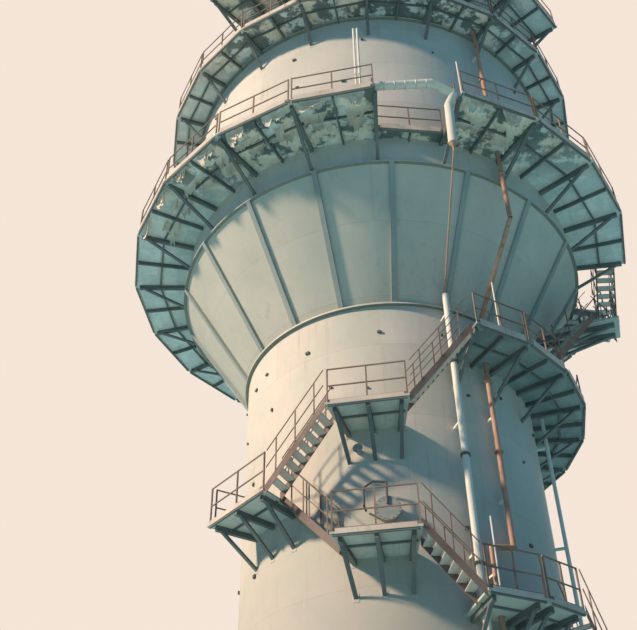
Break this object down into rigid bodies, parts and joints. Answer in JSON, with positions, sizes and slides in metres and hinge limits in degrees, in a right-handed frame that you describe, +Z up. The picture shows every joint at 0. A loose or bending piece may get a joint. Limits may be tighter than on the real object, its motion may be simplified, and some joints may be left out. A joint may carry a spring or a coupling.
{
  "type": "wet electrostatic precipitator",
  "caption": "Tall round process vessel with a narrow lower shell, a ribbed cone that widens to a broad upper chamber, ring galleries on brackets, zig-zag stairs and landings, and pipes on the outside.",
  "frame": {"origin": "centre of the underside of the sole plate, at floor level", "axes": "+Z up along the vessel axis, -Y towards the side seen in the picture, +X to that side's right"},
  "size_m": [17.1403, 17.1375, 38.3],
  "materials": {
    "base_steel": "dark grey paint",
    "bracket_steel": "dark primer with rust",
    "deck_plate": "dirty painted plate",
    "fittings": "grey painted steel",
    "lagging": "cream lagging jacket",
    "rail_steel": "brown primer with rust",
    "ring_paint": "weathered blue-grey paint",
    "rusty_pipe": "rusted pipe",
    "shell_paint": "weathered pale blue-grey paint",
    "stair_steel": "red-brown primer with rust",
    "white_pipe": "white paint with rust at the joints"
  },
  "bodies": {
    "root": {"base_gussets": "base_steel", "base_ring": "base_steel", "bottom_plate": "base_steel", "cone_base_ring": "ring_paint", "cone_ribs": "ring_paint", "cone_shell": "shell_paint", "cone_top_ring": "ring_paint", "davit_arm": "fittings", "drain_line": "rusty_pipe", "hung_stair_rails": "rail_steel", "hung_stringers": "stair_steel", "hung_treads": "stair_steel", "insulator_housings": "fittings", "lagged_pipe": "lagging", "lagging_saddle": "white_pipe", "landing_brackets": "bracket_steel", "landing_decks": "deck_plate", "landing_rails": "rail_steel", "light_poles": "white_pipe", "lower_shell": "shell_paint", "main_gallery_brackets": "bracket_steel", "main_gallery_deck": "deck_plate", "main_gallery_rail": "rail_steel", "manway_cover": "fittings", "manway_neck": "fittings", "outlet_stub": "shell_paint", "pipe_clamps": "white_pipe", "ring_walk_brackets": "bracket_steel", "ring_walk_deck": "deck_plate", "ring_walk_rail": "rail_steel", "roof_cone": "shell_paint", "roof_gallery_brackets": "bracket_steel", "roof_gallery_deck": "deck_plate", "roof_gallery_rail": "rail_steel", "rust_riser": "rusty_pipe", "side_nozzle": "fittings", "stair_rails": "rail_steel", "stair_stringers": "stair_steel", "stair_treads": "stair_steel", "upper_gallery_brackets": "bracket_steel", "upper_gallery_deck": "deck_plate", "upper_gallery_rail": "rail_steel", "upper_ring": "ring_paint", "upper_shell": "shell_paint", "white_downpipe": "white_pipe"}
  },
  "joints": []
}
